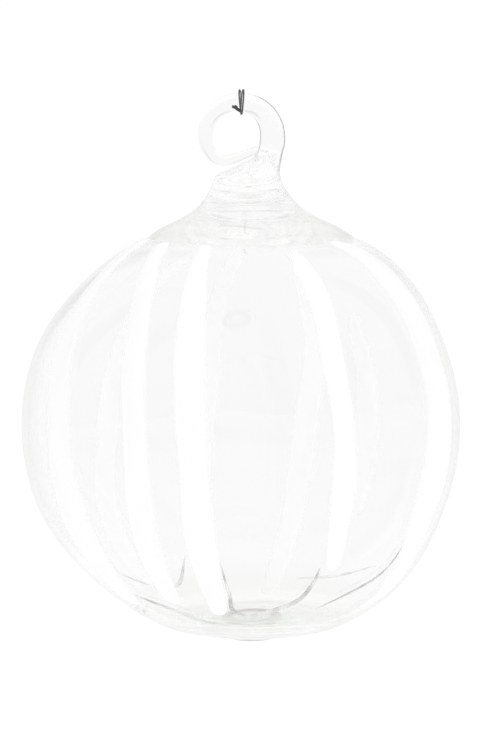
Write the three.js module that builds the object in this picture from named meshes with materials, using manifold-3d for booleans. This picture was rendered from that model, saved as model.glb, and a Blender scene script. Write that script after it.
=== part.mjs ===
// A hand-blown clear glass ball ornament with white trailed stripes, a drawn
// glass hanging ring, and a nylon line tied round the ring's crown.
//
// Millimetres, +Z up, +X to the viewer's right, the front faces -Y. Shapes are
// worked out from the ball's centre; the finished group is then lowered so that
// its origin is the underside of the ring's crown, where a hanging line bears.

import * as THREE from 'three';
import { mergeVertices } from 'three/addons/utils/BufferGeometryUtils.js';
import ManifoldModule from 'manifold-3d';

// ---------------------------------------------------------------- sizes

const FIT_GAP = 0.3; // clearance kept between pieces that are fused in the real glass

const BALL = {
  radius: 39.6, // outside of the clear wall; the stripes stand a little proud of it
  wall: 1.25,
  mouthRadius: 6, // where the blowpipe was cracked off, under the hanger
  segments: 36,
};

// How far the outside of the wall sinks inside a true sphere near the top,
// as [angle down from the top in degrees, millimetres].
const SHOULDER_SINK = [[0, 2.8], [10, 2.6], [20, 1.8], [26, 1.0], [30, 0.4], [34, 0]];

// Radius and height of the thick, flattened base, outside and inside the wall.
const BASE_OUTSIDE = [[14.2, -36.95], [10, -37.9], [8.2, -38.1], [7.2, -37.7], [0, -37.6]];
const BASE_INSIDE = [[0, -33.6], [6, -33.8], [10.5, -34.3], [14.5, -34.6]];
const OUTSIDE_ENDS_AT = 155; // degrees down from the top where the base's outside takes over
const INSIDE_ENDS_AT = 150; // and where its inside does

const PONTIL = { radius: 6.7, flatRadius: 3.5, topZ: -38.0, flatZ: -38.9, segments: 32 };

// The pulled-up gather: radius and height of its outside, from its edge to the neck.
const GATHER_OUTSIDE = [
  [17.8, 35.55], [17.3, 35.85], [15.4, 36.4], [13.4, 37.1], [10.7, 38.6],
  [8.9, 40.0], [7.8, 41.5], [6.8, 42.9], [6.2, 44.4], [5.8, 45.8],
];
const GATHER_EDGE_ANGLE = 26.4; // degrees down from the top
const PLUG = { radius: 5.4, depth: 1.6 }; // the part that stops the mouth of the ball

// Where the neck narrows, to the right, into the rod: middle, height, turn and radius.
const NECK_INTO_ROD = [
  [2.21, 46.8, 6, 4.97], [3.63, 48.17, 9.5, 3.86], [5.12, 49.5, 12, 2.55], [5.6, 50.7, 4, 2.33],
];

// The ball bulges to the left of the line through its neck and its pontil mark.
const AXIS_SHIFT = { base: 1.9, shoulder: 1.8, neck: 1.1, startsAt: 13, fullAt: 34, neckAt: 46 };

const RING = { centreX: -0.37, centreZ: 52.6, radius: 6.07, holeTopZ: 56.93 };
// The rod round the ring: degrees anticlockwise from the right, and radius.
const ROD_ROUND_RING = [
  [-3, 2.28], [10, 2.22], [24, 2.13], [38, 2.03], [52, 1.92], [66, 1.83], [80, 1.74], [94, 1.68],
  [108, 1.62], [122, 1.56], [136, 1.5], [150, 1.44], [164, 1.39], [178, 1.35], [191, 1.3],
];
// Its thin end, curled back along the top of the neck: middle, height, turn and radius.
const ROD_END = [
  [-5.95, 50.25, 204, 1.22], [-5.25, 49.15, 222, 1.12], [-4.35, 48.42, 243, 1.02],
  [-3.3, 48.15, 266, 0.95], [-2.1, 48.3, 284, 0.92], [-0.9, 48.75, 292, 0.88],
  [0.35, 49.25, 292, 0.82], [1.3, 49.66, 292, 0.62], [1.55, 49.77, 292, 0.3],
];
const HANGER_SIDES = 24;

const TIE = { lineRadius: 0.18, coilRadius: 2.48, spread: 0.38, overlap: 0.26, knotRadius: 0.48 };

const STRIPE = { thickness: 0.45, endWidth: 0.35, acrossSteps: 4, alongSteps: 10 };

// The white stripes. Each row is a place on a stripe's middle line, from its top end to
// its bottom end: degrees up, degrees round from the front, and its width there in mm.
const STRIPES = {
  stripe_left: [
    [61, -75, 3.4], [40, -66, 5.4], [15, -56.5, 7.2], [-28, -52.7, 8.0], [-50, -53, 5.0],
  ],
  stripe_left_front: [
    [61, -52, 3.2], [36, -35.5, 4.4], [10, -28.5, 5.0], [-25, -27.3, 5.0], [-47, -28.5, 3.8],
  ],
  stripe_centre_left: [
    [61, -24, 2.6], [50, -20.5, 3.4], [32, -16, 4.9], [5, -13, 5.6], [-30, -11.7, 5.2], [-51, -12.5, 2.8],
  ],
  stripe_centre_right: [
    [57, 21, 2.6], [50, 22.5, 3.3], [38, 25, 4.0], [15, 26.3, 4.4], [-18, 26.9, 4.3], [-34, 27.2, 2.6],
  ],
  stripe_right: [
    [62, 50, 4.6], [50, 60, 7.0], [38, 63, 9.0], [10, 63.5, 9.8], [-13, 61.5, 9.8], [-49, 58, 5.6],
  ],
  stripe_right_rear: [[59, 101, 3.2], [30, 103, 5.0], [0, 104, 5.6], [-30, 106, 5.4], [-47, 108, 3.4]],
  stripe_rear_right: [[27, 144, 2.8], [8, 143, 4.6], [-15, 142, 4.6], [-31, 141, 2.8]],
  stripe_rear_centre_right: [
    [58, 160, 3.0], [38, 160, 3.6], [21, 157.5, 4.0], [-5, 161, 5.0], [-30, 163, 4.6], [-47, 168, 4.2],
    [-62, 172, 2.8],
  ],
  stripe_rear_centre_left: [
    [59, 186, 2.8], [35, 188.3, 3.8], [0, 191, 4.6], [-37, 195, 4.4], [-50, 197, 3.2],
  ],
  stripe_rear_left: [
    [58, 206, 3.2], [39, 212.5, 4.4], [18, 216, 4.8], [-3, 219, 5.2], [-37, 228.5, 5.8], [-47, 231.5, 5.4],
    [-56, 230, 3.6],
  ],
  stripe_left_rear: [[59, 258, 3.2], [30, 255, 5.0], [0, 254, 5.6], [-30, 252, 5.4], [-49, 250, 3.4]],
};

// ---------------------------------------------------------------- materials

function glass(name, color) {
  return new THREE.MeshStandardMaterial({ name, color, roughness: 0.03, metalness: 0 });
}

const clearGlass = glass('clear_glass', 0xf1f5f4);
const hangerGlass = glass('hanger_glass', 0xe9eeec);
const whiteGlass = new THREE.MeshStandardMaterial({
  name: 'white_glass', color: 0xfafaf8, roughness: 0.12, metalness: 0,
});
const nylonLine = new THREE.MeshStandardMaterial({
  name: 'nylon_line', color: 0x4a4a48, roughness: 0.4, metalness: 0,
});

// ---------------------------------------------------------------- helpers

const radians = THREE.MathUtils.degToRad;

/** Reads a value from a table of [position, value] rows by straight lines. */
function fromTable(table, position) {
  for (let i = 1; i < table.length; i += 1) {
    const [start, startValue] = table[i - 1];
    const [end, endValue] = table[i];
    if (position <= end) {
      const share = THREE.MathUtils.clamp((position - start) / (end - start), 0, 1);
      return THREE.MathUtils.lerp(startValue, endValue, share);
    }
  }
  return table[table.length - 1][1];
}

/** Sideways offset of the glass's own axis at a height. */
function axisShift(z) {
  const inBall = THREE.MathUtils.smoothstep(Math.abs(z), AXIS_SHIFT.startsAt, AXIS_SHIFT.fullAt);
  if (z < 0) {
    return AXIS_SHIFT.base * inBall;
  }
  const inNeck = THREE.MathUtils.smoothstep(z, AXIS_SHIFT.fullAt, AXIS_SHIFT.neckAt);
  return THREE.MathUtils.lerp(AXIS_SHIFT.shoulder, AXIS_SHIFT.neck, inNeck) * inBall;
}

/** Moves every point of a shape with a function that changes it in place. */
function bend(geometry, movePoint) {
  const positions = geometry.attributes.position;
  const point = new THREE.Vector3();
  for (let i = 0; i < positions.count; i += 1) {
    point.fromBufferAttribute(positions, i);
    movePoint(point);
    positions.setXYZ(i, point.x, point.y, point.z);
  }
  geometry.computeVertexNormals();
  return geometry;
}

/** Turns a profile of [radius, height] about the glass's axis, and lets the axis wander. */
function blownSolid(profile, segments) {
  const points = profile.map(([radius, height]) => new THREE.Vector2(radius, height));
  const geometry = new THREE.LatheGeometry(points, segments);
  geometry.rotateX(Math.PI / 2);
  return bend(geometry, (point) => {
    point.x += axisShift(point.z);
  });
}

/** Outside radius of the clear wall at an angle down from the top, in degrees. */
function wallRadius(angleFromTop) {
  return BALL.radius - fromTable(SHOULDER_SINK, angleFromTop);
}

/** A point [radius, height] at a distance inside the wall's outside. */
function wallPoint(angleFromTop, depth) {
  const distance = wallRadius(angleFromTop) - depth;
  const angle = radians(angleFromTop);
  return [distance * Math.sin(angle), distance * Math.cos(angle)];
}

/** Evenly spaced values from start to end, both included. */
function spaced(start, end, count) {
  return Array.from({ length: count }, (_, i) => start + ((end - start) * i) / (count - 1));
}

function mesh(name, geometry, material) {
  const result = new THREE.Mesh(geometry, material);
  result.name = name;
  return result;
}

// ---------------------------------------------------------------- the blown ball

/** Thin wall, open at the mouth, with a thick flattened base. */
function ballShellGeometry() {
  const mouthAngle = THREE.MathUtils.radToDeg(Math.asin(BALL.mouthRadius / wallRadius(9)));
  const outside = spaced(OUTSIDE_ENDS_AT, mouthAngle, 16).map((angle) => wallPoint(angle, 0));
  const inside = spaced(mouthAngle, INSIDE_ENDS_AT, 12).map((angle) => wallPoint(angle, BALL.wall));
  const profile = [...BASE_OUTSIDE.slice().reverse(), ...outside, ...inside, ...BASE_INSIDE.slice().reverse()];
  return blownSolid(profile, BALL.segments);
}

/** The button of glass left by the pontil rod, ground to a small flat. */
function pontilGeometry() {
  const { radius, flatRadius, topZ, flatZ, segments } = PONTIL;
  const profile = [
    [0, flatZ],
    [flatRadius, flatZ],
    [(radius + flatRadius) / 2, THREE.MathUtils.lerp(flatZ, topZ, 0.3)],
    [radius, THREE.MathUtils.lerp(flatZ, topZ, 0.75)],
    [radius - 0.3, topZ],
    [0, topZ],
  ];
  return blownSolid(profile, segments);
}

// ---------------------------------------------------------------- the white stripes

/** How much of a stripe's width is left at a share of its length: it rounds off at both ends. */
function endRounding(share) {
  const rounding = Math.sqrt(1 - Math.pow(Math.abs(2 * share - 1), 8));
  return Math.max(rounding, STRIPE.endWidth);
}

/** The stripe's middle line and its width, each as a table by degrees down from the top. */
function stripeTables(rows) {
  return {
    line: rows.map(([up, round]) => [90 - up, round]),
    width: rows.map(([up, , width]) => [90 - up, width]),
  };
}

/** A low, domed ribbon of glass laid down the outside of the ball. */
function stripeGeometry(rows) {
  const { line, width } = stripeTables(rows);
  const [start, end] = [line[0][0], line[line.length - 1][0]];
  const ribbon = new THREE.BoxGeometry(1, 1, 1, STRIPE.acrossSteps, STRIPE.alongSteps, 1);
  return bend(ribbon, (point) => {
    const across = point.x;
    const share = 0.5 - point.y;
    const isOutside = point.z > 0;
    const angleFromTop = THREE.MathUtils.lerp(start, end, share);
    const dome = 0.4 + 0.6 * Math.cos(Math.PI * across);
    const height = FIT_GAP + (isOutside ? STRIPE.thickness * dome : 0);
    const distance = wallRadius(angleFromTop) + height;
    const levelRadius = distance * Math.sin(radians(angleFromTop));
    const reach = across * fromTable(width, angleFromTop) * endRounding(share);
    const longitude = radians(fromTable(line, angleFromTop)) + reach / levelRadius;
    point.z = distance * Math.cos(radians(angleFromTop));
    point.x = levelRadius * Math.sin(longitude) + axisShift(point.z);
    point.y = -levelRadius * Math.cos(longitude);
  });
}

// ---------------------------------------------------------------- the hanger

/** Point on the ring's middle line, degrees anticlockwise from the right. */
function ringPoint(angle) {
  const x = RING.centreX + RING.radius * Math.cos(radians(angle));
  const z = RING.centreZ + RING.radius * Math.sin(radians(angle));
  return new THREE.Vector3(x, 0, z);
}

/** A round section of the hanger: its middle, its radius and how far it has turned from level. */
function section(x, z, radius, turn = 0) {
  return { middle: new THREE.Vector3(x, 0, z), radius, turn: radians(turn) };
}

/** Every section in order: plug, underside, edge, outside, neck, ring and curled end. */
function hangerSections() {
  const plugTop = wallPoint(9, -FIT_GAP)[1];
  const plugBottom = plugTop - PLUG.depth;
  const underside = spaced(10, GATHER_EDGE_ANGLE, 6).map((angle) => wallPoint(angle, -FIT_GAP));
  const turned = [
    [0.5, plugBottom],
    [PLUG.radius, plugBottom],
    [PLUG.radius, plugTop],
    ...underside,
    ...GATHER_OUTSIDE,
  ];
  return [
    ...turned.map(([radius, z]) => section(axisShift(z), z, radius)),
    ...NECK_INTO_ROD.map(([x, z, turn, radius]) => section(x, z, radius, turn)),
    ...ROD_ROUND_RING.map(([angle, radius]) => {
      const { x, z } = ringPoint(angle);
      return section(x, z, radius, angle);
    }),
    ...ROD_END.map(([x, z, turn, radius]) => section(x, z, radius, turn)),
  ];
}

/** The whole hanger, a cylinder whose levels are laid onto the sections one by one. */
function drawnHangerGeometry() {
  const sections = hangerSections();
  const steps = sections.length - 1;
  const cylinder = new THREE.CylinderGeometry(1, 1, 1, HANGER_SIDES, steps);
  return bend(cylinder, (point) => {
    const { middle, radius, turn } = sections[Math.round((point.y + 0.5) * steps)];
    const outward = point.x * radius;
    const back = -point.z * radius;
    point.set(outward * Math.cos(turn), back, outward * Math.sin(turn)).add(middle);
  });
}

// ---------------------------------------------------------------- the tied line

/** Two turns of the line round the crown, crossing once, as a closed curve. */
class CoilCurve extends THREE.Curve {
  getPoint(share, target = new THREE.Vector3()) {
    const turn = share * 4 * Math.PI;
    const radius = TIE.coilRadius + TIE.overlap * Math.cos(turn / 2);
    const along = TIE.spread * Math.sin(turn / 2);
    const crown = ringPoint(90);
    return target.set(along, radius * Math.cos(turn), crown.z + radius * Math.sin(turn));
  }
}

const wasm = await ManifoldModule();
wasm.setup();

/** Hands a three.js shape to manifold-3d as a closed solid. */
function toManifold(geometry) {
  const bare = geometry.clone();
  bare.deleteAttribute('normal');
  bare.deleteAttribute('uv');
  const merged = mergeVertices(bare, 1e-4);
  return new wasm.Manifold(new wasm.Mesh({
    numProp: 3,
    vertProperties: Float32Array.from(merged.attributes.position.array),
    triVerts: Uint32Array.from(merged.index.array),
  }));
}

/** Hands a manifold-3d solid back to three.js. */
function fromManifold(solid) {
  const { vertProperties, triVerts } = solid.getMesh();
  const geometry = new THREE.BufferGeometry();
  geometry.setAttribute('position', new THREE.BufferAttribute(vertProperties, 3));
  geometry.setIndex(new THREE.BufferAttribute(triVerts, 1));
  geometry.computeVertexNormals();
  return geometry;
}

/** The two turns and the small knot that closes them, below and in front of the crown. */
function lineTieGeometry() {
  const turns = new THREE.TubeGeometry(new CoilCurve(), 44, TIE.lineRadius, 6, true);
  const knot = new THREE.SphereGeometry(TIE.knotRadius, 10, 8);
  knot.scale(1.3, 1, 1);
  const crown = ringPoint(90);
  const knotAngle = radians(-140);
  const knotRadius = TIE.coilRadius + TIE.knotRadius * 0.6;
  knot.translate(-0.55, knotRadius * Math.cos(knotAngle), crown.z + knotRadius * Math.sin(knotAngle));
  return fromManifold(toManifold(turns).add(toManifold(knot)));
}

// ---------------------------------------------------------------- assembly

const ornament = new THREE.Group();
ornament.name = 'glass_ball_ornament';

const blownBall = new THREE.Group();
blownBall.add(mesh('ball_shell', ballShellGeometry(), clearGlass));
blownBall.add(mesh('pontil_button', pontilGeometry(), clearGlass));
for (const [name, rows] of Object.entries(STRIPES)) {
  blownBall.add(mesh(name, stripeGeometry(rows), whiteGlass));
}

const hanger = new THREE.Group();
hanger.add(mesh('drawn_hanger', drawnHangerGeometry(), hangerGlass));
hanger.add(mesh('line_tie', lineTieGeometry(), nylonLine));

for (const section of [blownBall, hanger]) {
  section.position.z = -RING.holeTopZ;
  ornament.add(section);
}

export default ornament;
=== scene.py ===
"""A hand-blown clear glass ball with white trailed stripes, a drawn glass hanger and a tied line.

Shapes are worked out in millimetres from the ball's centre. Lengths are then turned
to metres and lowered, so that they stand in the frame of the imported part, whose origin
is the underside of the ring's crown.
"""

import math

import bpy
import numpy as np
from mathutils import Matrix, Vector


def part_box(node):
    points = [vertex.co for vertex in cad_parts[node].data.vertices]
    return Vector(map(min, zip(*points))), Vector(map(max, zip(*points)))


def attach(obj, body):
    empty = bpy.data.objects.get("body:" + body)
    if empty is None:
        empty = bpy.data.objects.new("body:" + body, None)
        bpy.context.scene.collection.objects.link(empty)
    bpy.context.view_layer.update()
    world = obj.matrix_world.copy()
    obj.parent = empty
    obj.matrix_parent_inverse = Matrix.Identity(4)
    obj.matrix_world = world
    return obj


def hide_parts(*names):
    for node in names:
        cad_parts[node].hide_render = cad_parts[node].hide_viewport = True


bl_info = {
    "name": "Blown Glass Ball Ornament",
    "version": (1, 0, 0),
    "blender": (4, 5, 0),
    "location": "View3D > Sidebar > Ornament",
    "description": "Builds a striped glass ball ornament around its packed part",
    "category": "Add Mesh",
}

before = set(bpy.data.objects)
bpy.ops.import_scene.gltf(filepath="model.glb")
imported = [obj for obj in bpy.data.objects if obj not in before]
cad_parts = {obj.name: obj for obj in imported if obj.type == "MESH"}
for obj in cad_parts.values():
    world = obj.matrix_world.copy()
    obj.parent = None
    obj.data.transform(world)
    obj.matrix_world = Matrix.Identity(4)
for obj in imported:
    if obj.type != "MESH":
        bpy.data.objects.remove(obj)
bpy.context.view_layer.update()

MM = 0.001
ORNAMENT, TIE = "ornament", "tie"  # the part's two bodies

# ------------------------------------------------------------------ sizes in millimetres

SHELL_BASE_Z = -38.1  # lowest point of the clear wall, below the ball's centre
BALL_CENTRE_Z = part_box("ball_shell")[0].z / MM - SHELL_BASE_Z

BALL_RADIUS = 39.6
MOUTH_RADIUS = 6.0
POLE_RADIUS = 0.02  # a turned outline stops this far from its axis, and a fan of faces closes it
AROUND_BALL, AROUND_BUTTON, AROUND_HANGER = 224, 128, 112  # points in each ring of a grid

# Degrees down from the top where the wall's outside and its inside end, and run into the base.
OUTSIDE_ENDS, INSIDE_ENDS = 156, 148
SINK_AT_MOUTH = 2.6  # how far the wall has sunk inside a true sphere at its mouth
OUTER_SHARE = 0.55  # about the share of the wall's outline that is its outer side

# Angle down from the top, and how far the wall sinks inside a true sphere there.
SHOULDER_SINK = ((0, 2.8), (10, 2.6), (20, 1.8), (26, 1.0), (30, 0.4), (34, 0.08), (40, 0), (180, 0))

# Radius and height of the thick base, outside and inside, from the wall to the axis.
BASE_OUTSIDE = ((14.2, -36.75), (10.0, -37.55), (8.2, -37.72), (7.0, -37.68), (4.0, -37.62), (0.0, -37.6))
BASE_INSIDE = ((14.5, -34.6), (10.5, -34.3), (6.0, -33.8), (3.0, -33.64), (0.0, -33.6))

# Radius and height round the pontil's button: its ground flat, its broken rim and its buried top.
BUTTON_OUTLINE = (
    (POLE_RADIUS, -38.86), (2.6, -38.87), (3.5, -38.9), (4.1, -38.78), (5.3, -38.45), (6.5, -38.2),
    (6.7, -38.05), (6.75, -37.6), (6.2, -37.35), (3.0, -37.25), (POLE_RADIUS, -37.2),
)

# The gather's underside ends here, then its outside runs from its edge to the neck.
GATHER_EDGE_ANGLE = 28.6
GATHER_SINK = 0.3  # how deep the gather has melted into the wall
PLUG_OUTSIDE = ((0.05, 34.6), (2.6, 34.65), (4.7, 34.85), (6.2, 35.2), (7.2, 35.6))
GATHER_OUTSIDE = (
    (18.68, 34.1), (18.2, 34.62), (17.4, 35.15), (15.6, 36.2), (13.4, 37.2), (10.7, 38.7),
    (8.9, 40.1), (7.8, 41.5), (6.8, 43.0), (6.15, 44.5), (5.8, 45.8),
)
# Where the neck narrows, to the right, into the rod: middle, height, turn and radius.
NECK_INTO_ROD = (
    (2.21, 46.8, 6, 4.97), (3.63, 48.17, 9.5, 3.86), (5.12, 49.5, 12, 2.55), (5.6, 50.7, 4, 2.33),
)
RING_X, RING_Z, RING_RADIUS = -0.37, 52.6, 6.07
ROD_ROUND_RING = (
    (-3, 2.3), (10, 2.23), (24, 2.13), (38, 2.03), (52, 1.92), (66, 1.83), (80, 1.74), (94, 1.68),
    (108, 1.62), (122, 1.56), (136, 1.5), (150, 1.44), (164, 1.39), (178, 1.35), (191, 1.3),
)
ROD_END = (
    (-5.95, 50.25, 204, 1.22), (-5.25, 49.1, 222, 1.12), (-4.35, 48.36, 243, 1.04),
    (-3.3, 48.08, 266, 0.98), (-2.1, 48.2, 284, 0.94), (-0.9, 48.62, 292, 0.9),
    (0.35, 49.1, 292, 0.86), (1.5, 49.55, 292, 0.8), (2.6, 49.95, 292, 0.72),
)

# The line's two turns: their radius, how much closer they lie on top, how far apart the
# turns stand, how far one laps over the other, and the line's own radius.
COIL_RADIUS, COIL_SNUG, COIL_SPREAD, COIL_OVERLAP, LINE_RADIUS = 2.18, 0.02, 0.5, 0.03, 0.16
# From the ring's crown: how far aside the turns lie, and where the knot and the tucked end are.
COIL_ASIDE, KNOT_PLACE, TAIL_PLACE = 0.45, (-0.75, -2.2, -0.8), (-0.2, -2.1, -1.25)
KNOT_SIZE = 0.15

# Painted shade: thin lines of darker glass in the base stand in for the dark lines that the refraction of
# dark surroundings draws there. Each row is a place
# on a line: degrees up, degrees round from the front, and the line's radius there.
BASE_PAINTED_DARK_LINES = (
    ((-30, -7, 0.12), (-41, -6.5, 0.3), (-50, -5.4, 0.5), (-51.2, 0.2, 0.55), (-48.5, 9, 0.6),
     (-44, 18.2, 0.55), (-38, 21.8, 0.4), (-33, 23.2, 0.12)),
    ((-14, 60.5, 0.1), (-26, 55.5, 0.2), (-36, 50, 0.32), (-44, 36, 0.34), (-49, 26, 0.12)),
    ((-44, -50, 0.12), (-50.5, -31.6, 0.45), (-55.3, -21.6, 0.45), (-57, -8, 0.14)),
    ((-46, 118, 0.12), (-52, 140, 0.4), (-54, 158, 0.14)),
    ((-45, 205, 0.12), (-54, 214, 0.4), (-50, 246, 0.35), (-40, 262, 0.12)),
)

# The white stripes. Each row is a place on a stripe's middle line, from its top end to its
# bottom end: degrees up, degrees round from the front, and its width there.
STRIPES = {
    "stripe_left": (
        (61, -75, 3.4), (40, -66, 5.4), (15, -56.5, 7.2), (-28, -52.7, 8.0), (-50, -53, 5.0),
    ),
    "stripe_left_front": (
        (61, -52, 3.2), (36, -35.5, 4.4), (10, -28.5, 5.0), (-25, -27.3, 5.0), (-47, -28.5, 3.8),
    ),
    "stripe_centre_left": (
        (61, -24, 2.6), (50, -20.5, 3.4), (32, -16, 4.9), (5, -13, 5.6), (-30, -11.7, 5.2),
        (-51, -12.5, 2.8),
    ),
    "stripe_centre_right": (
        (57, 21, 2.6), (50, 22.5, 3.3), (38, 25, 4.0), (15, 26.3, 4.4), (-18, 26.9, 4.3),
        (-34, 27.2, 2.6),
    ),
    "stripe_right": (
        (62, 50, 4.6), (50, 60, 7.0), (38, 63, 9.0), (10, 63.5, 9.8), (-13, 61.5, 9.8), (-49, 58, 5.6),
    ),
    "stripe_right_rear": (
        (59, 101, 3.2), (30, 103, 5.0), (0, 104, 5.6), (-30, 106, 5.4), (-47, 108, 3.4),
    ),
    "stripe_rear_right": ((27, 144, 2.8), (8, 143, 4.6), (-15, 142, 4.6), (-31, 141, 2.8)),
    "stripe_rear_centre_right": (
        (58, 160, 3.0), (38, 160, 3.6), (21, 157.5, 4.0), (-5, 161, 5.0), (-30, 163, 4.6),
        (-47, 168, 4.2), (-62, 172, 2.8),
    ),
    "stripe_rear_centre_left": (
        (59, 186, 2.8), (35, 188.3, 3.8), (0, 191, 4.6), (-37, 195, 4.4), (-50, 197, 3.2),
    ),
    "stripe_rear_left": (
        (58, 206, 3.2), (39, 212.5, 4.4), (18, 216, 4.8), (-3, 219, 5.2), (-37, 228.5, 5.8),
        (-47, 231.5, 5.4), (-56, 230, 3.6),
    ),
    "stripe_left_rear": (
        (59, 258, 3.2), (30, 255, 5.0), (0, 254, 5.6), (-30, 252, 5.4), (-49, 250, 3.4),
    ),
}
FADED_EDGE = 1.12  # a stripe's thin clear edges lie outside its width
PAINTED_DARK_LINE_SUNK = 0.1  # how deep the middle of a painted dark line in the base lies in the wall

# ------------------------------------------------------------------ tints of the glass, and its painted shade and reflection

THICK_BASE_TINT_AND_SHADE = (0.925, 0.94, 0.915, 1)  # where it is thick, in the base: its own deeper tint, with painted shade
EDGE_ON_TINT_AND_SHADE = (0.74, 0.75, 0.73, 1)  # where it is seen edge on: its own deeper tint, with painted shade for the dark edge that refraction gives
PAINTED_DARK_REFLECTION = (0.06, 0.06, 0.06, 1)  # painted dark reflection down the right of the hanger
GROUND_FLAT = (0.8, 0.82, 0.78, 1)
BROKEN_RIM = (0.16, 0.09, 0.08, 1)
PAINTED_DARK_LINE_GREY = 0.5  # painted shade: how much of the glass's tint the dark lines in the base keep

# ------------------------------------------------------------------ the stage

CAMERA_LENS, SENSOR_WIDTH, CAMERA_DISTANCE = 243, 36, 0.9
AIM_ASIDE, AIM_ABOVE = -0.00018, 0.01046  # metres from the ball's centre to the picture's middle
FLOOR_REACH = 3.0
LAMP_SIZE = 0.6
LAMPS = {"key_lamp": (-0.5, -0.7, 0.6), "fill_lamp": (0.7, -0.4, 0.5), "back_lamp": (0.1, 0.8, 0.7)}
GLASS_BOUNCES, CLEAR_BOUNCES = 300, 32
SEEN_WORLD = 1.05  # brightness of the plain white that the camera sees

# ------------------------------------------------------------------ curves and surfaces


def smooth_table(at, knots, values):
    """Reads a table by smooth curves.

    Between two knots the value follows the cubic that meets both values, with the slope
    at each knot that the table's neighbouring rows give there.
    """
    at = np.asarray(at, float)
    knots = np.asarray(knots, float)
    values = np.asarray(values, float)
    slopes = np.gradient(values, knots, axis=0)
    row = np.clip(np.searchsorted(knots, at, side="right") - 1, 0, len(knots) - 2)
    span = knots[row + 1] - knots[row]
    share = np.clip((at - knots[row]) / span, 0, 1)
    if values.ndim > 1:
        span, share = span[:, None], share[:, None]
    start, end = values[row], values[row + 1]
    rise, fall = slopes[row] * span, slopes[row + 1] * span
    squared, cubed = share**2, share**3
    return (
        start * (2 * cubed - 3 * squared + 1)
        + rise * (cubed - 2 * squared + share)
        + end * (3 * squared - 2 * cubed)
        + fall * (cubed - squared)
    )


def smooth_line(points, count):
    """count points, evenly spaced by length, on the smooth line through the given points."""
    points = np.asarray(points, float)
    steps = np.linalg.norm(np.diff(points[:, :2], axis=0), axis=1)
    length = np.concatenate(([0], np.cumsum(steps)))
    return smooth_table(np.linspace(0, length[-1], count), length, points)


def softened(line, rounds):
    """The same line with its small bumps averaged away; both of its ends stay."""
    line = line.copy()
    for _ in range(rounds):
        line[1:-1] = (line[:-2] + 2 * line[1:-1] + line[2:]) / 4
    return line


def smoothstep(value, low, high):
    """Rises from 0 at low to 1 at high along a curve that is level at both ends."""
    share = np.clip((value - low) / (high - low), 0, 1)
    return share * share * (3 - 2 * share)


def axis_shift(z):
    """Sideways offset of the glass's own axis at height z, in mm: none round the middle."""
    in_ball = smoothstep(np.abs(z), 13, 34)
    in_neck = smoothstep(z, 34, 46)
    return np.where(z < 0, 1.9 * in_ball, (1.8 - 0.7 * in_neck) * in_ball)


def wall_radius(angle_from_top):
    """Distance from the ball's centre to the wall's outside, by degrees down from the top."""
    angles, sinks = np.array(SHOULDER_SINK).T
    return BALL_RADIUS - smooth_table(angle_from_top, angles, sinks)


def hand_waves(points, seed, size):
    """Slow, shallow waves over a surface: a few sines of the direction from the centre."""
    random = np.random.default_rng(seed)
    direction = points / np.linalg.norm(points, axis=-1, keepdims=True)
    total = np.zeros(points.shape[:-1])
    for _ in range(9):
        heading = random.normal(size=3) * (3.2, 3.2, 1.6)
        total += np.sin(direction @ heading + random.uniform(0, 2 * np.pi))
    return size * total / 3


def turned(profile, around):
    """Grid of rings: each [radius, height] of the profile is carried round the axis."""
    profile = np.asarray(profile, float)
    turn = np.linspace(0, 2 * np.pi, around, endpoint=False)
    radius, height = profile[:, :1], profile[:, 1:2]
    return np.stack(
        (radius * np.cos(turn), radius * np.sin(turn), height + 0 * turn),
        axis=-1,
    )


def shell_faces(rings, around, wraps):
    """Four-sided faces between neighbouring rings; wraps joins the last ring to the first."""
    count = rings if wraps else rings - 1
    ring, step = np.meshgrid(np.arange(count), np.arange(around), indexing="ij")
    next_ring, next_step = (ring + 1) % rings, (step + 1) % around
    corners = (
        ring * around + step,
        ring * around + next_step,
        next_ring * around + next_step,
        next_ring * around + step,
    )
    return np.stack(corners, axis=-1).reshape(-1, 4)


def enclosed_volume(points, faces):
    """Signed volume in a closed surface: positive when its faces point outwards."""
    first, second, third, fourth = (points[faces[:, i]] for i in range(4))
    halves = np.cross(first, second) * third + np.cross(first, third) * fourth
    return halves.sum() / 6


def closed_skin(grid, wraps=False):
    """Points and faces of a closed surface over a grid of rings, its faces outwards.

    Unless the rings wrap, the first and the last ring are each closed by a fan of faces
    to their middle point.
    """
    rings, around = grid.shape[:2]
    points = grid.reshape(-1, 3)
    quads = shell_faces(rings, around, wraps)
    fans = np.zeros((0, 3), int)
    if not wraps:
        here = np.arange(around)
        after = (here + 1) % around
        last = (rings - 1) * around
        bottom, top = len(points), len(points) + 1
        points = np.vstack((points, grid[0].mean(axis=0), grid[-1].mean(axis=0)))
        fans = np.vstack((
            np.stack((after, here, bottom + 0 * here), axis=-1),
            np.stack((last + here, last + after, top + 0 * here), axis=-1),
        ))
    volume = enclosed_volume(points, quads)
    if volume < 0:
        quads, fans = quads[:, ::-1], fans[:, ::-1]
    return points, quads.tolist() + fans.tolist()


def make_piece(name, shells, material, body, stands_for, attributes=None):
    """A smooth mesh of one or more closed surfaces, riding on a body in place of CAD nodes."""
    points, faces, start = [], [], 0
    for shell_points, shell_faces_list in shells:
        points.append(shell_points)
        faces += [[start + corner for corner in face] for face in shell_faces_list]
        start += len(shell_points)
    placed = np.vstack(points)
    placed = (placed + (0, 0, BALL_CENTRE_Z)) * MM
    mesh = bpy.data.meshes.new(name)
    mesh.from_pydata(placed.tolist(), [], faces)
    mesh.shade_smooth()
    for title, values in (attributes or {}).items():
        layer = mesh.attributes.new(title, "FLOAT", "POINT")
        layer.data.foreach_set("value", np.asarray(values, np.float32))
    mesh.materials.append(material)
    mesh.validate()
    piece = bpy.data.objects.new(name, mesh)
    bpy.context.scene.collection.objects.link(piece)
    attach(piece, body)
    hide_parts(*stands_for)
    return piece


# ------------------------------------------------------------------ node helpers


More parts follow.
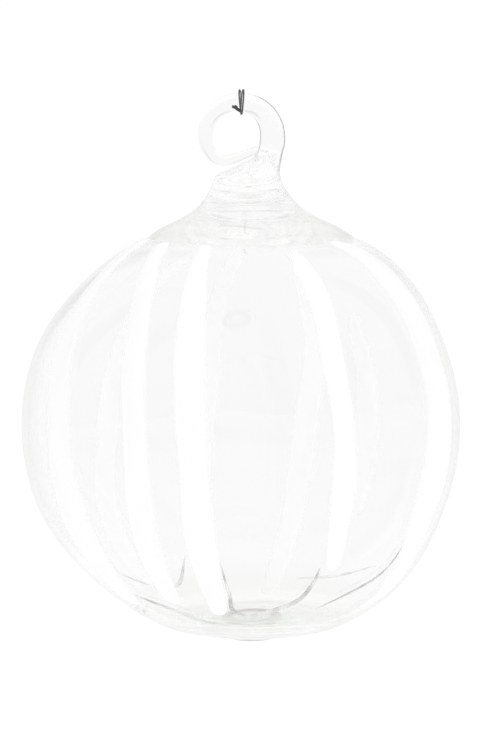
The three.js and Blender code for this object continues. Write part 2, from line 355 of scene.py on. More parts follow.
def new_group(name, inputs, outputs):
    """A shader node group with named sockets: (name, kind, default) in, (name, kind) out."""
    group = bpy.data.node_groups.new(name, "ShaderNodeTree")
    for title, kind, default in inputs:
        socket = group.interface.new_socket(title, in_out="INPUT", socket_type=kind)
        socket.default_value = default
    for title, kind in outputs:
        group.interface.new_socket(title, in_out="OUTPUT", socket_type=kind)
    return group, Wiring(group)


class Wiring:
    """Short calls that add and join the nodes of one tree."""

    def __init__(self, tree):
        self.tree = tree

    def add(self, kind, **settings):
        node = self.tree.nodes.new(kind)
        for key, value in settings.items():
            setattr(node, key, value)
        return node

    def feed(self, socket, source):
        """Joins a socket to another one, or sets it to a plain value."""
        if isinstance(source, bpy.types.NodeSocket):
            self.tree.links.new(source, socket)
        else:
            socket.default_value = source

    def sum_up(self, operation, first, second=0.0, third=0.0, clamp=False):
        """One Math node; returns its result."""
        node = self.add("ShaderNodeMath", operation=operation, use_clamp=clamp)
        for socket, source in zip(node.inputs, (first, second, third)):
            self.feed(socket, source)
        return node.outputs[0]

    def noise(self, where, scale, detail=3.0, stretch=None, distortion=0.0):
        """Noise from -0.5 to 0.5 or so, read at a place that may be stretched first."""
        if stretch is not None:
            mapping = self.add("ShaderNodeMapping")
            self.feed(mapping.inputs["Vector"], where)
            mapping.inputs["Scale"].default_value = stretch
            where = mapping.outputs["Vector"]
        node = self.add("ShaderNodeTexNoise")
        self.feed(node.inputs["Vector"], where)
        self.feed(node.inputs["Scale"], scale)
        node.inputs["Detail"].default_value = detail
        node.inputs["Distortion"].default_value = distortion
        return self.sum_up("SUBTRACT", node.outputs["Fac"], 0.5)

    def blend(self, share, first, second):
        """Mixes two colours."""
        node = self.add("ShaderNodeMix", data_type="RGBA")
        self.feed(node.inputs["Factor"], share)
        self.feed(node.inputs["A"], first)
        self.feed(node.inputs["B"], second)
        return node.outputs["Result"]

    def ramp(self, value, low, high, to_low=0.0, to_high=1.0):
        """Smoothly carries a value's range onto another one."""
        node = self.add("ShaderNodeMapRange", interpolation_type="SMOOTHSTEP")
        for title, source in (
            ("Value", value), ("From Min", low), ("From Max", high),
            ("To Min", to_low), ("To Max", to_high),
        ):
            self.feed(node.inputs[title], source)
        return node.outputs["Result"]


def blown_glass_group():
    """Cords, seeds and a faint change of tint, as every piece of melted glass has them."""
    name = "Melted glass"
    if name in bpy.data.node_groups:
        return bpy.data.node_groups[name]
    group, wire = new_group(
        name,
        [
            ("Tint", "NodeSocketColor", (0.97, 0.97, 0.97, 1)),
            ("Cord Tint", "NodeSocketColor", (0.94, 0.95, 0.94, 1)),
            ("Cord Scale", "NodeSocketFloat", 60.0),
            ("Seeds", "NodeSocketFloat", 0.3),
        ],
        [
            ("Color", "NodeSocketColor"),
            ("Roughness", "NodeSocketFloat"),
            ("Height", "NodeSocketFloat"),
        ],
    )
    given = wire.add("NodeGroupInput").outputs
    result = wire.add("NodeGroupOutput").inputs
    place = wire.add("ShaderNodeTexCoord").outputs["Object"]
    cords = wire.noise(place, given["Cord Scale"], 2.0, (1.0, 1.0, 0.35), 0.6)
    fine = wire.noise(place, 900.0, 2.0)
    specks = wire.add("ShaderNodeTexVoronoi", feature="F1")
    wire.feed(specks.inputs["Vector"], place)
    specks.inputs["Scale"].default_value = 260.0
    seed = wire.ramp(specks.outputs["Distance"], 0.0, 0.11, 1.0, 0.0)
    chosen = wire.add("ShaderNodeSeparateColor")
    wire.feed(chosen.inputs["Color"], specks.outputs["Color"])
    rare = wire.sum_up("GREATER_THAN", chosen.outputs["Red"], 0.93)
    seed = wire.sum_up("MULTIPLY", wire.sum_up("MULTIPLY", seed, rare), given["Seeds"])
    share = wire.ramp(cords, -0.25, 0.3)
    wire.feed(result["Color"], wire.blend(share, given["Tint"], given["Cord Tint"]))
    wire.feed(result["Roughness"], wire.ramp(fine, -0.1, 0.5, 0.0, 0.03))
    height = wire.sum_up("MULTIPLY_ADD", cords, 1.0, wire.sum_up("MULTIPLY", fine, 0.02))
    wire.feed(result["Height"], wire.sum_up("ADD", height, seed))
    return group


def start_material(name):
    """An empty node material with its shader joined to its output."""
    material = bpy.data.materials.new(name)
    material.use_nodes = True
    material.node_tree.nodes.clear()
    wire = Wiring(material.node_tree)
    shader = wire.add("ShaderNodeBsdfPrincipled")
    output = wire.add("ShaderNodeOutputMaterial")
    wire.feed(output.inputs["Surface"], shader.outputs["BSDF"])
    return material, wire, shader.inputs


def let_light_through(material):
    """Rays of soft light pass the glass unbent, so that what is behind it is lit."""
    wire = Wiring(material.node_tree)
    nodes = material.node_tree.nodes
    output = next(node for node in nodes if node.type == "OUTPUT_MATERIAL")
    surface = next(node for node in nodes if node.type == "BSDF_PRINCIPLED").outputs["BSDF"]
    path = wire.add("ShaderNodeLightPath")
    passing = wire.add("ShaderNodeBsdfTransparent")
    passing.inputs["Color"].default_value = (1, 1, 1, 1)
    for kind in ("Is Diffuse Ray", "Is Shadow Ray"):
        mix = wire.add("ShaderNodeMixShader")
        wire.feed(mix.inputs[0], path.outputs[kind])
        wire.feed(mix.inputs[1], surface)
        wire.feed(mix.inputs[2], passing.outputs["BSDF"])
        surface = mix.outputs["Shader"]
    wire.feed(output.inputs["Surface"], surface)


def add_bump(wire, sockets, height, strength, distance):
    """Feeds a height to the shader's normal."""
    bump = wire.add("ShaderNodeBump")
    bump.inputs["Strength"].default_value = strength
    bump.inputs["Distance"].default_value = distance
    wire.feed(bump.inputs["Height"], height)
    wire.feed(sockets["Normal"], bump.outputs["Normal"])


def base_tint_and_shade_share(wire):
    """How much of the thick base's tint and painted shade the glass has: all at its floor, none higher
    up.
    """
    place = wire.add("ShaderNodeSeparateXYZ")
    wire.feed(place.inputs["Vector"], wire.add("ShaderNodeTexCoord").outputs["Object"])
    full, none = ((BALL_CENTRE_Z - depth) * MM for depth in (36.5, 27.0))
    return wire.ramp(place.outputs["Z"], full, none, 1.0, 0.0)


def edge_on_tint_and_shade_share(wire):
    """How far the glass is seen edge on, where its own tint shows most and painted shade darkens its
    edge.
    """
    edge = wire.add("ShaderNodeLayerWeight")
    edge.inputs["Blend"].default_value = 0.5
    return wire.ramp(edge.outputs["Facing"], 0.68, 0.97)


def paint_dark_reflection_edge(material):
    """Paints a dark reflection as a thin dark edge down the right of a piece, wherever it is seen edge
    on.

    The painted reflection is part of the material, so it stays on that side whatever the lighting is.
    """
    wire = Wiring(material.node_tree)
    shader = next(node for node in material.node_tree.nodes if node.type == "BSDF_PRINCIPLED")
    color = shader.inputs["Base Color"].links[0].from_socket
    place = wire.add("ShaderNodeSeparateXYZ")
    wire.feed(place.inputs["Vector"], wire.add("ShaderNodeTexCoord").outputs["Object"])
    edge = wire.add("ShaderNodeLayerWeight")
    edge.inputs["Blend"].default_value = 0.5
    # Painted reflection: the dark edge stands in for something dark beside the piece, seen in the glass.
    outline = wire.ramp(edge.outputs["Facing"], 0.45, 0.75)
    right = wire.ramp(place.outputs["X"], 1.5 * MM, 4.0 * MM)
    high = wire.ramp(place.outputs["Z"], -14.0 * MM, -7.0 * MM)
    share = wire.sum_up("MULTIPLY", outline, wire.sum_up("MULTIPLY", right, high))
    wire.feed(shader.inputs["Base Color"], wire.blend(share, color, PAINTED_DARK_REFLECTION))


def clear_glass(name, tint, cord_tint, cord_scale, seeds, bump):
    """Clear soda glass; its tint and its cords are what a piece of it shows, with painted shade where it
    is thick in the base and where it is seen edge on.
    """
    material, wire, sockets = start_material(name)
    texture = wire.add("ShaderNodeGroup", node_tree=blown_glass_group())
    wire.feed(texture.inputs["Tint"], (*tint, 1))
    wire.feed(texture.inputs["Cord Tint"], (*cord_tint, 1))
    wire.feed(texture.inputs["Cord Scale"], cord_scale)
    wire.feed(texture.inputs["Seeds"], seeds)
    # Painted shade together with the real tint: the base grows darker towards the bottom.
    thick = wire.blend(base_tint_and_shade_share(wire), texture.outputs["Color"], THICK_BASE_TINT_AND_SHADE)
    # Painted shade together with the real tint: the glass darkens where it is seen edge on.
    wire.feed(sockets["Base Color"], wire.blend(edge_on_tint_and_shade_share(wire), thick, EDGE_ON_TINT_AND_SHADE))
    wire.feed(sockets["Roughness"], texture.outputs["Roughness"])
    sockets["IOR"].default_value = 1.5
    sockets["Transmission Weight"].default_value = 1.0
    add_bump(wire, sockets, texture.outputs["Height"], bump, 0.0004)
    let_light_through(material)
    return material


def white_glass():
    """Opaque white glass, thin and milky at its edges, with the drag marks of the trail."""
    material, wire, sockets = start_material("White trailed glass")
    across = wire.add("ShaderNodeAttribute", attribute_name="across").outputs["Fac"]
    place = wire.add("ShaderNodeTexCoord").outputs["Object"]
    drag = wire.noise(place, 420.0, 3.0, (1.0, 1.0, 0.12))
    cloud = wire.noise(place, 110.0, 2.0, (1.0, 1.0, 0.4))
    from_middle = wire.sum_up("ABSOLUTE", across)
    ragged = wire.sum_up("MULTIPLY_ADD", cloud, 0.35, from_middle)
    cover = wire.ramp(ragged, 0.74, 1.04, 1.0, 0.0)
    inside = wire.add("ShaderNodeNewGeometry").outputs["Backfacing"]
    cover = wire.sum_up("MULTIPLY", cover, wire.sum_up("SUBTRACT", 1.0, inside))
    tone = wire.ramp(wire.sum_up("MULTIPLY_ADD", drag, 0.5, cloud), -0.35, 0.4)
    color = wire.blend(tone, (0.985, 0.985, 0.985, 1), (0.96, 0.963, 0.958, 1))
    wire.feed(sockets["Base Color"], color)
    wire.feed(sockets["Alpha"], cover)
    wire.feed(sockets["Roughness"], wire.ramp(drag, -0.4, 0.5, 0.1, 0.28))
    sockets["IOR"].default_value = 1.5
    add_bump(wire, sockets, drag, 0.12, 0.0003)
    return material


def nylon_line():
    """Dark twisted nylon."""
    material, wire, sockets = start_material("Nylon line")
    place = wire.add("ShaderNodeTexCoord").outputs["Object"]
    fibre = wire.noise(place, 2600.0, 3.0, (1.0, 1.0, 0.4))
    worn = wire.noise(place, 700.0, 2.0)
    color = wire.blend(wire.ramp(worn, -0.3, 0.3), (0.035, 0.035, 0.036, 1), (0.12, 0.12, 0.118, 1))
    wire.feed(sockets["Base Color"], color)
    wire.feed(sockets["Roughness"], wire.ramp(fibre, -0.4, 0.4, 0.3, 0.55))
    add_bump(wire, sockets, fibre, 0.3, 0.00005)
    return material


# ------------------------------------------------------------------ settings


class GlassSettings(bpy.types.PropertyGroup):
    wall: bpy.props.FloatProperty(
        name="Wall", description="Thickness of the blown wall, in millimetres",
        default=1.25, min=0.6, max=3.0,
    )
    tint: bpy.props.FloatVectorProperty(
        name="Tint", description="Colour that clear glass gives to light",
        subtype="COLOR", default=(0.995, 0.996, 0.994), min=0, max=1,
    )
    hanger_tint: bpy.props.FloatVectorProperty(
        name="Hanger Tint", description="Colour of the thicker glass of the hanger",
        subtype="COLOR", default=(0.996, 0.996, 0.993), min=0, max=1,
    )
    waves: bpy.props.FloatProperty(
        name="Waves", description="Depth of the slow waves in the blown wall, in millimetres",
        default=0.05, min=0, max=0.5,
    )


class StripeSettings(bpy.types.PropertyGroup):
    thickness: bpy.props.FloatProperty(
        name="Thickness", description="How far a stripe stands proud of the wall, in millimetres",
        default=0.45, min=0.1, max=1.5,
    )
    embedded: bpy.props.FloatProperty(
        name="Embedded", description="How deep a stripe has sunk into the wall, in millimetres",
        default=0.3, min=0, max=1.0,
    )
    wander: bpy.props.FloatProperty(
        name="Wander", description="How far a stripe strays from its line, in millimetres",
        default=0.35, min=0, max=2,
    )


class StageSettings(bpy.types.PropertyGroup):
    floor_drop: bpy.props.FloatProperty(
        name="Floor Drop", description="Height of the ornament above the floor",
        subtype="DISTANCE", unit="LENGTH", default=0.3,
    )
    panel_light: bpy.props.FloatProperty(
        name="Panel Light", description="Brightness of the white panels all round", default=0.95, min=0,
    )
    gap_light: bpy.props.FloatProperty(
        name="Gap Light", description="Brightness of the gaps between the panels", default=0.8, min=0,
    )
    lamp_power: bpy.props.FloatProperty(
        name="Lamp Power", description="Power of each soft lamp", unit="POWER", default=0.78, min=0,
    )
    camera_height: bpy.props.FloatProperty(
        name="Camera Height", description="Angle of the camera above the ball's centre",
        subtype="ANGLE", unit="ROTATION", default=math.radians(6),
    )


class OrnamentSettings(bpy.types.PropertyGroup):
    glass: bpy.props.PointerProperty(type=GlassSettings)
    stripes: bpy.props.PointerProperty(type=StripeSettings)
    stage: bpy.props.PointerProperty(type=StageSettings)


# ------------------------------------------------------------------ the blown ball


def wall_profile(angles, depth):
    """Points [radius, height] that lie a depth inside the wall's outside."""
    distance = wall_radius(angles) - depth
    turn = np.radians(angles)
    return np.stack((distance * np.sin(turn), distance * np.cos(turn)), axis=-1)


def shell_profile(wall):
    """Outline of the wall: axis, base, outside, mouth, inside, inner floor, axis."""
    mouth = np.degrees(np.arcsin(MOUTH_RADIUS / (BALL_RADIUS - SINK_AT_MOUTH)))
    outside = wall_profile(np.linspace(OUTSIDE_ENDS, mouth, 110), 0)
    inside = wall_profile(np.linspace(mouth, INSIDE_ENDS, 90), wall)
    lip = (outside[-1] + inside[0]) / 2 + (-0.35 * wall, 0)
    base = smooth_line(np.vstack((np.array(BASE_OUTSIDE)[::-1], outside[:2])), 36)[:-2]
    floor = smooth_line(np.vstack((inside[-2:], np.array(BASE_INSIDE))), 34)[2:]
    outer, inner = (softened(np.vstack(side), 12) for side in ((base, outside), (inside, floor)))
    return np.vstack((outer, [lip], inner))


class ORNAMENT_OT_ball(bpy.types.Operator):
    """Blows the clear ball, with its pontil mark and lines of painted shade in its base"""

    bl_idname = "ornament.ball"
    bl_label = "Glass Ball"

    def execute(self, context):
        settings = context.scene.ornament.glass
        tint = tuple(settings.tint)
        cords = tuple(0.995 * channel for channel in tint)
        material = clear_glass("Clear blown glass", tint, cords, 55.0, 0.25, 0.05)
        profile = shell_profile(settings.wall)
        profile[0, 0] = profile[-1, 0] = POLE_RADIUS
        grid = turned(profile, AROUND_BALL)
        outside = np.arange(len(profile)) < len(profile) * OUTER_SHARE
        waves = np.where(
            outside[:, None],
            hand_waves(grid, 3, settings.waves),
            hand_waves(grid, 8, 1.5 * settings.waves),
        )
        grid *= 1 + (waves / BALL_RADIUS)[..., None]
        grid[..., 0] += axis_shift(grid[..., 2])
        make_piece(
            "blown_ball", [closed_skin(grid)], material, ORNAMENT, ["ball_shell"],
        )
        self.add_pontil(tint)
        # Painted shade: grey glass lines in the base stand in for the dark lines that refraction draws
        # there.
        painted_line_tint = tuple(PAINTED_DARK_LINE_GREY * channel for channel in tint)
        painted_dark_line_glass = clear_glass("Painted dark line glass", painted_line_tint, cords, 300.0, 0.1, 0.1)
        shells = [closed_skin(painted_dark_line_grid(rows, PAINTED_DARK_LINE_SUNK)) for rows in BASE_PAINTED_DARK_LINES]
        make_piece("base_painted_dark_lines", shells, painted_dark_line_glass, ORNAMENT, [])
        return {"FINISHED"}

    def add_pontil(self, tint):
        """A low round button with a small ground flat, brownish round its broken rim."""
        grid = turned(smooth_line(BUTTON_OUTLINE, 60), AROUND_BUTTON)
        grid[..., 0] += axis_shift(grid[..., 2])
        material, wire, sockets = start_material("Pontil glass")
        place = wire.add("ShaderNodeTexCoord").outputs["Object"]
        parts = wire.add("ShaderNodeSeparateXYZ")
        wire.feed(parts.inputs["Vector"], place)
        grain = wire.noise(place, 1400.0, 4.0)
        low = wire.ramp(
            wire.sum_up("MULTIPLY_ADD", grain, 0.0002, parts.outputs["Z"]),
            (BALL_CENTRE_Z - 38.6) * MM, (BALL_CENTRE_Z - 38.35) * MM, 1.0, 0.0,
        )
        aside = wire.sum_up("SUBTRACT", parts.outputs["X"], float(axis_shift(-38.0)) * MM)
        back_squared = wire.sum_up("MULTIPLY", parts.outputs["Y"], parts.outputs["Y"])
        from_axis = wire.sum_up("SQRT", wire.sum_up("MULTIPLY_ADD", aside, aside, back_squared))
        broken = wire.sum_up("MULTIPLY", low, wire.ramp(from_axis, 2.6 * MM, 3.6 * MM))
        ground = wire.blend(low, (*tint, 1), GROUND_FLAT)
        color = wire.blend(broken, ground, BROKEN_RIM)
        wire.feed(sockets["Base Color"], color)
        wire.feed(sockets["Roughness"], wire.ramp(low, 0.0, 1.0, 0.01, 0.32))
        sockets["IOR"].default_value = 1.5
        sockets["Transmission Weight"].default_value = 1.0
        add_bump(wire, sockets, wire.sum_up("MULTIPLY", grain, low), 0.4, 0.0002)
        let_light_through(material)
        make_piece(
            "pontil_mark", [closed_skin(grid)], material, ORNAMENT, ["pontil_button"],
        )


def painted_dark_line_grid(rows, depth):
    """Grid of a thin round line of painted shade laid along the wall, its middle a depth inside the
    outside.
    """
    latitudes, longitudes, radii = np.array(rows, float).T
    step = np.hypot(np.diff(latitudes), np.diff(longitudes) * np.cos(np.radians(latitudes[1:])))
    length = np.concatenate(([0], np.cumsum(step)))
    places = np.linspace(0, length[-1], 90)
    table = np.stack((latitudes, longitudes, radii), axis=1)
    latitude, longitude, radius = smooth_table(places, length, table).T
    up, turn = np.radians(latitude), np.radians(longitude)
    outward = np.stack((np.cos(up) * np.sin(turn), -np.cos(up) * np.cos(turn), np.sin(up)), axis=-1)
    middle = outward * (wall_radius(90 - latitude) - depth)[:, None]
    middle[:, 0] += axis_shift(middle[:, 2])
    forward = np.gradient(middle, axis=0)
    aside = np.cross(forward, outward)
    aside /= np.linalg.norm(aside, axis=1, keepdims=True)
    around = np.linspace(0, 2 * np.pi, 16, endpoint=False)[:, None]
    ring = np.cos(around) * aside[:, None] + 0.6 * np.sin(around) * outward[:, None]
    return middle[:, None] + radius[:, None, None] * ring


# ------------------------------------------------------------------ the white stripes


def stripe_grid(rows, settings, seed):
    """Grid of a stripe, and how far across it each point lies, from -1 to 1.

    A thin, flat-bottomed lens is carried down the ball. It swells a little here and
    there and closes round at both ends; its middle line wanders.
    """
    latitudes, longitudes, widths = np.array(rows, float).T
    random = np.random.default_rng(seed)
    along = (1 - np.cos(np.linspace(0.02, 1, 130) * np.pi)) / 2
    along = np.clip(along, 0.0005, 0.9995)
    latitude = latitudes[0] + (latitudes[-1] - latitudes[0]) * along
    longitude = np.radians(smooth_table(-latitude, -latitudes, longitudes))
    body = smooth_table(-latitude, -latitudes, widths)
    waves = random.uniform(0, 2 * np.pi, 4)
    wander = settings.wander * (
        np.sin(5.1 * along + waves[0]) * 0.7 + np.sin(12.3 * along + waves[1]) * 0.3
    )
    swell = 1 + 0.05 * np.sin(9.0 * along + waves[2]) + 0.03 * np.sin(21.0 * along + waves[3])
    length = math.radians(latitudes[0] - latitudes[-1]) * BALL_RADIUS
    from_end = np.minimum(along, 1 - along) * length
    rounding = np.sqrt(np.clip(1 - (1 - np.clip(from_end / (body * 0.75), 0, 1)) ** 2, 0, 1))
    half = FADED_EDGE * body * swell * rounding / 2
    turn = np.linspace(0, 2 * np.pi, 32, endpoint=False)
    across = np.cos(turn)
    lift = np.abs(np.sin(turn))
    rise = np.where(
        np.sin(turn) > 0,
        settings.thickness * lift**1.5,
        -settings.embedded * lift,
    )
    height = rise[None, :] * np.clip(rounding, 0.05, 1)[:, None]
    turn_up = np.radians(latitude)[:, None]
    distance = wall_radius(90 - latitude)[:, None] + height
    level = distance * np.cos(turn_up)
    angle = longitude[:, None] + (across * half[:, None] + wander[:, None]) / level
    z = distance * np.sin(turn_up)
    grid = np.stack((level * np.sin(angle) + axis_shift(z), -level * np.cos(angle), z), axis=-1)
    return grid, np.broadcast_to(across, height.shape)


class ORNAMENT_OT_stripes(bpy.types.Operator):
    """Trails the eleven white stripes down the outside of the ball"""

    bl_idname = "ornament.stripes"
    bl_label = "White Stripes"

    def execute(self, context):
        settings = context.scene.ornament.stripes
        material = white_glass()
        for seed, (node, rows) in enumerate(STRIPES.items()):
            grid, across = stripe_grid(rows, settings, seed + 40)
            values = np.concatenate((across.reshape(-1), (0, 0)))
            make_piece(
                "trail_" + node.removeprefix("stripe_"), [closed_skin(grid)], material, ORNAMENT,
                [node], {"across": values},
            )
        return {"FINISHED"}


# ------------------------------------------------------------------ the hanger


def ring_middle(angle):
    """Middle of the rod on the ring, degrees anticlockwise from the right."""
    turn = np.radians(angle)
    return RING_X + RING_RADIUS * np.cos(turn), RING_Z + RING_RADIUS * np.sin(turn)


def level_sections(profile):
    """Rows of [x, z, turn, radius] of level sections about the glass's own axis."""
    radius, height = profile.T
    return np.stack((axis_shift(height), height, 0 * height, radius), axis=-1)


def hanger_sections():
    """Rows of [x, z, turn, radius] of every round section, from the plug to the tip.

    The gather's sections are level. Round the ring each one has turned as far as it has
    gone round, and the curled end carries on turning.
    """
    underside = wall_profile(np.linspace(11.5, GATHER_EDGE_ANGLE, 30), GATHER_SINK)
    plug = smooth_line(np.array(PLUG_OUTSIDE), 30)
    outside = smooth_line(np.array(GATHER_OUTSIDE), 90)
    below, above = (level_sections(line) for line in (np.vstack((plug, underside)), outside))
    ring = [(*ring_middle(angle), angle, radius) for angle, radius in ROD_ROUND_RING]
    rod = smooth_line(np.vstack((above[-1:], NECK_INTO_ROD, ring, ROD_END)), 300)[1:]
    drawn = softened(np.vstack((above, rod)), 40)
    tip = drawn[-1]
    cap = []
    for share in (0.35, 0.65, 0.85, 0.97):
        forward = tip[3] * share
        heading = math.radians(tip[2])
        cap.append((
            tip[0] - forward * math.sin(heading), tip[1] + forward * math.cos(heading), tip[2],
            tip[3] * math.sqrt(1 - share**2),
        ))
    return np.vstack((below, drawn, cap))


def carried_round(sections, around):
    """Grid of rings: each section is a circle in the plane of its own turn."""
    turn = np.radians(sections[:, 2:3])
    radius = sections[:, 3:4]
    step = np.linspace(0, 2 * np.pi, around, endpoint=False)
    outward, back = radius * np.cos(step), radius * np.sin(step)
    return np.stack(
        (sections[:, :1] + outward * np.cos(turn), back, sections[:, 1:2] + outward * np.sin(turn)),
        axis=-1,
    )


def trapped_bubble(x, y, z, width, height):
    """A small drop-shaped hollow in the glass, its faces turned inwards."""
    share = np.linspace(0.02, 0.98, 24)
    profile = np.stack(
        (width / 2 * np.sin(np.pi * share) * (0.6 + 0.8 * (1 - share)), height * (share - 0.5)), axis=-1,
    )
    grid = turned(profile, 24) + (x, y, z)
    points, faces = closed_skin(grid)
    return points, [face[::-1] for face in faces]


class ORNAMENT_OT_hanger(bpy.types.Operator):
    """Draws the hanger from its gather on the shoulder round to its curled tip"""

    bl_idname = "ornament.hanger"
    bl_label = "Drawn Hanger"

    def execute(self, context):
        tint = tuple(context.scene.ornament.glass.hanger_tint)
        cords = tuple(0.992 * channel for channel in tint)
        material = clear_glass("Drawn hanger glass", tint, cords, 90.0, 0.1, 0.03)
        # Painted reflection: a thin dark edge down the hanger's right side.
        paint_dark_reflection_edge(material)
        grid = carried_round(hanger_sections(), AROUND_HANGER)
        bubble = trapped_bubble(0.75, -5.5, 37.4, 0.7, 1.8)
        make_piece(
            "hanger_and_ring", [closed_skin(grid), bubble], material, ORNAMENT,
            ["drawn_hanger"],
        )
        return {"FINISHED"}


# ------------------------------------------------------------------ the tied line


def tube(middles, radius, sides=10):
    """Closed tube round a closed line: a circle set square to the line at each point."""
    forward = np.roll(middles, -1, axis=0) - np.roll(middles, 1, axis=0)
    forward /= np.linalg.norm(forward, axis=1, keepdims=True)
    aside = np.cross(forward, (1.0, 0.0, 0.0))
    aside /= np.linalg.norm(aside, axis=1, keepdims=True)
    across = np.cross(forward, aside)
    step = np.linspace(0, 2 * np.pi, sides, endpoint=False)[:, None]
    return middles[:, None] + radius * (np.cos(step) * aside[:, None] + np.sin(step) * across[:, None])


class ORNAMENT_OT_tie(bpy.types.Operator):
    """Ties the line round the ring's crown in two turns and a knot"""

    bl_idname = "ornament.tie"
    bl_label = "Tied Line"

    def execute(self, context):
        crown = np.array((*ring_middle(90), 0))[[0, 2, 1]]
        turn = np.linspace(0, 4 * np.pi, 200, endpoint=False)
        radius = COIL_RADIUS + COIL_OVERLAP * np.cos(turn / 2) - COIL_SNUG * np.sin(turn)
        aside = COIL_ASIDE + COIL_SPREAD * np.sin(turn / 2) * (0.6 + 0.4 * np.sin(turn))
        coil = crown + np.stack((aside, radius * np.cos(turn), radius * np.sin(turn)), axis=-1)
        loop_turn = np.linspace(0, 2 * np.pi, 120, endpoint=False)
        knot = crown + KNOT_PLACE + KNOT_SIZE * np.stack(
            (1.5 * (np.sin(loop_turn) + 2 * np.sin(2 * loop_turn)) / 1.6,
             (np.cos(loop_turn) - 2 * np.cos(2 * loop_turn)) / 1.4,
             -np.sin(3 * loop_turn) * 1.1),
            axis=-1,
        )
        tail = crown + TAIL_PLACE + np.stack(
            (0.6 * np.cos(loop_turn) + 0.05 * np.sin(loop_turn),
             0.12 * np.sin(loop_turn),
             -0.42 * np.cos(loop_turn) + 0.12 * np.sin(loop_turn)),
            axis=-1,
        )
        shells = [
            closed_skin(tube(line, LINE_RADIUS), wraps=True) for line in (coil, knot, tail)
        ]
        make_piece("tied_line", shells, nylon_line(), TIE, ["line_tie"])
        return {"FINISHED"}


# ------------------------------------------------------------------ the stage


def studio_world(settings):
    """White panels all round, with narrow gaps above the horizon; the camera sees plain white."""
    world = bpy.data.worlds.new("Studio")
    world.use_nodes = True
    world.node_tree.nodes.clear()
    wire = Wiring(world.node_tree)
    direction = wire.add("ShaderNodeSeparateXYZ")
    wire.feed(direction.inputs["Vector"], wire.add("ShaderNodeTexCoord").outputs["Generated"])
    heading = wire.sum_up("ARCTAN2", direction.outputs["Y"], direction.outputs["X"])
    panels = wire.sum_up("COSINE", wire.sum_up("MULTIPLY", heading, 8.0))
    gap = wire.ramp(panels, -0.85, -0.45, 1.0, 0.0)
    height = direction.outputs["Z"]
    gap = wire.sum_up("MULTIPLY", gap, wire.ramp(height, 0.02, 0.3))
    gap = wire.sum_up("MULTIPLY", gap, wire.ramp(height, 0.75, 0.9, 1.0, 0.0))
    light = wire.sum_up(
        "MULTIPLY_ADD", gap, settings.gap_light - settings.panel_light, settings.panel_light,
    )
    seen = wire.add("ShaderNodeLightPath").outputs["Is Camera Ray"]
    strength = wire.add("ShaderNodeMix", data_type="FLOAT")
    wire.feed(strength.inputs["Factor"], seen)
    wire.feed(strength.inputs["A"], light)
    strength.inputs["B"].default_value = SEEN_WORLD
    background = wire.add("ShaderNodeBackground")
    background.inputs["Color"].default_value = (1, 1, 1, 1)
    wire.feed(background.inputs["Strength"], strength.outputs["Result"])
    output = wire.add("ShaderNodeOutputWorld")
    wire.feed(output.inputs["Surface"], background.outputs["Background"])
    bpy.context.scene.world = world


def floor_material():
    """Pale matt board with a faint mottle."""
    material, wire, sockets = start_material("Pale floor")
    place = wire.add("ShaderNodeTexCoord").outputs["Object"]
    mottle = wire.noise(place, 3.0, 4.0)
    color = wire.blend(wire.ramp(mottle, -0.3, 0.3), (0.97, 0.97, 0.97, 1), (0.94, 0.94, 0.94, 1))
    wire.feed(sockets["Base Color"], color)
    wire.feed(sockets["Roughness"], wire.ramp(mottle, -0.4, 0.4, 0.8, 0.95))
    sockets["Specular IOR Level"].default_value = 0.0
    wire.feed(sockets["Emission Color"], color)
    seen = wire.add("ShaderNodeLightPath").outputs["Is Camera Ray"]
    wire.feed(sockets["Emission Strength"], wire.ramp(seen, 0.0, 1.0, 0.075, 0.2))
    return material


def soft_lamp(name, place, power):
    """A square lamp aimed at the ball, which shows neither in nor through the glass."""
    data = bpy.data.lights.new(name, "AREA")
    data.size = LAMP_SIZE
    data.energy = power
    lamp = bpy.data.objects.new(name, data)
    lamp.location = place
    aim = Vector((0, 0, BALL_CENTRE_Z * MM)) - lamp.location
    lamp.rotation_mode = "QUATERNION"
    lamp.rotation_quaternion = aim.to_track_quat("-Z", "Y")
    lamp.visible_camera = False
    lamp.visible_glossy = False
    lamp.visible_transmission = False
    bpy.context.scene.collection.objects.link(lamp)


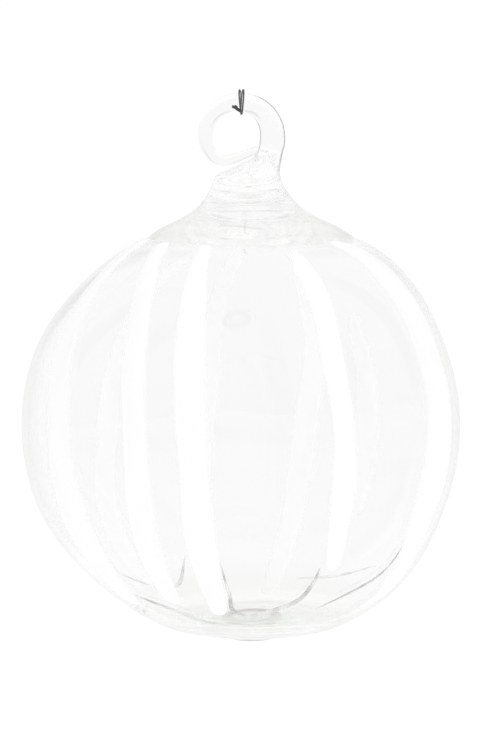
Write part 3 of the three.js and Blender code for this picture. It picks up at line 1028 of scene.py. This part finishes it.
class ORNAMENT_OT_stage(bpy.types.Operator):
    """Lays the pale floor, lights the studio and sets up the camera"""

    bl_idname = "ornament.stage"
    bl_label = "Stage"

    def execute(self, context):
        settings = context.scene.ornament.stage
        studio_world(settings)
        context.scene.view_settings.view_transform = "Standard"
        self.let_light_wander(context.scene.cycles)
        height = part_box("pontil_button")[0].z - settings.floor_drop
        mesh = bpy.data.meshes.new("floor")
        sides = ((-1, -1), (1, -1), (1, 1), (-1, 1))
        corners = [(x * FLOOR_REACH, y * FLOOR_REACH, height) for x, y in sides]
        mesh.from_pydata(corners, [], [(0, 1, 2, 3)])
        mesh.materials.append(floor_material())
        floor = bpy.data.objects.new("floor", mesh)
        context.scene.collection.objects.link(floor)
        for name, place in LAMPS.items():
            soft_lamp(name, place, settings.lamp_power)
        self.add_camera(context, settings)
        return {"FINISHED"}

    def let_light_wander(self, cycles):
        """Light caught inside thick glass needs many turns to find its way out."""
        cycles.max_bounces = GLASS_BOUNCES
        cycles.transmission_bounces = GLASS_BOUNCES
        cycles.glossy_bounces = GLASS_BOUNCES
        cycles.transparent_max_bounces = CLEAR_BOUNCES

    def add_camera(self, context, settings):
        """A long lens square to the ring, a little above the ball's centre."""
        data = bpy.data.cameras.new("camera")
        data.lens = CAMERA_LENS
        data.sensor_width = SENSOR_WIDTH
        data.clip_start, data.clip_end = 0.01, 20
        camera = bpy.data.objects.new("camera", data)
        tilt = settings.camera_height
        back = Vector((0, -math.cos(tilt), math.sin(tilt)))
        up = Vector((0, math.sin(tilt), math.cos(tilt)))
        aim = Vector((AIM_ASIDE, 0, BALL_CENTRE_Z * MM)) + up * AIM_ABOVE
        camera.location = aim + back * CAMERA_DISTANCE
        camera.rotation_mode = "QUATERNION"
        camera.rotation_quaternion = (-back).to_track_quat("-Z", "Y")
        context.scene.collection.objects.link(camera)
        context.scene.camera = camera


# ------------------------------------------------------------------ panel and start


class ORNAMENT_PT_panel(bpy.types.Panel):
    """Lists the ornament's pieces and their settings"""

    bl_idname = "ORNAMENT_PT_panel"
    bl_label = "Glass Ornament"
    bl_space_type = "VIEW_3D"
    bl_region_type = "UI"
    bl_category = "Ornament"

    def draw(self, context):
        settings = context.scene.ornament
        for group, operators in (
            (settings.glass, ("ornament.ball", "ornament.hanger")),
            (settings.stripes, ("ornament.stripes",)),
            (settings.stage, ("ornament.stage",)),
        ):
            box = self.layout.box()
            for title in group.__annotations__:
                box.prop(group, title)
            for operator in operators:
                box.operator(operator)
        self.layout.operator("ornament.tie")


CLASSES = (
    GlassSettings, StripeSettings, StageSettings, OrnamentSettings,
    ORNAMENT_OT_ball, ORNAMENT_OT_stripes, ORNAMENT_OT_hanger, ORNAMENT_OT_tie, ORNAMENT_OT_stage,
    ORNAMENT_PT_panel,
)


def register():
    for one in CLASSES:
        bpy.utils.register_class(one)
    bpy.types.Scene.ornament = bpy.props.PointerProperty(type=OrnamentSettings)


def unregister():
    del bpy.types.Scene.ornament
    for one in reversed(CLASSES):
        bpy.utils.unregister_class(one)


def main():
    register()
    bpy.ops.ornament.ball()
    bpy.ops.ornament.stripes()
    bpy.ops.ornament.hanger()
    bpy.ops.ornament.tie()
    bpy.ops.ornament.stage()


if __name__ == "__main__":
    main()
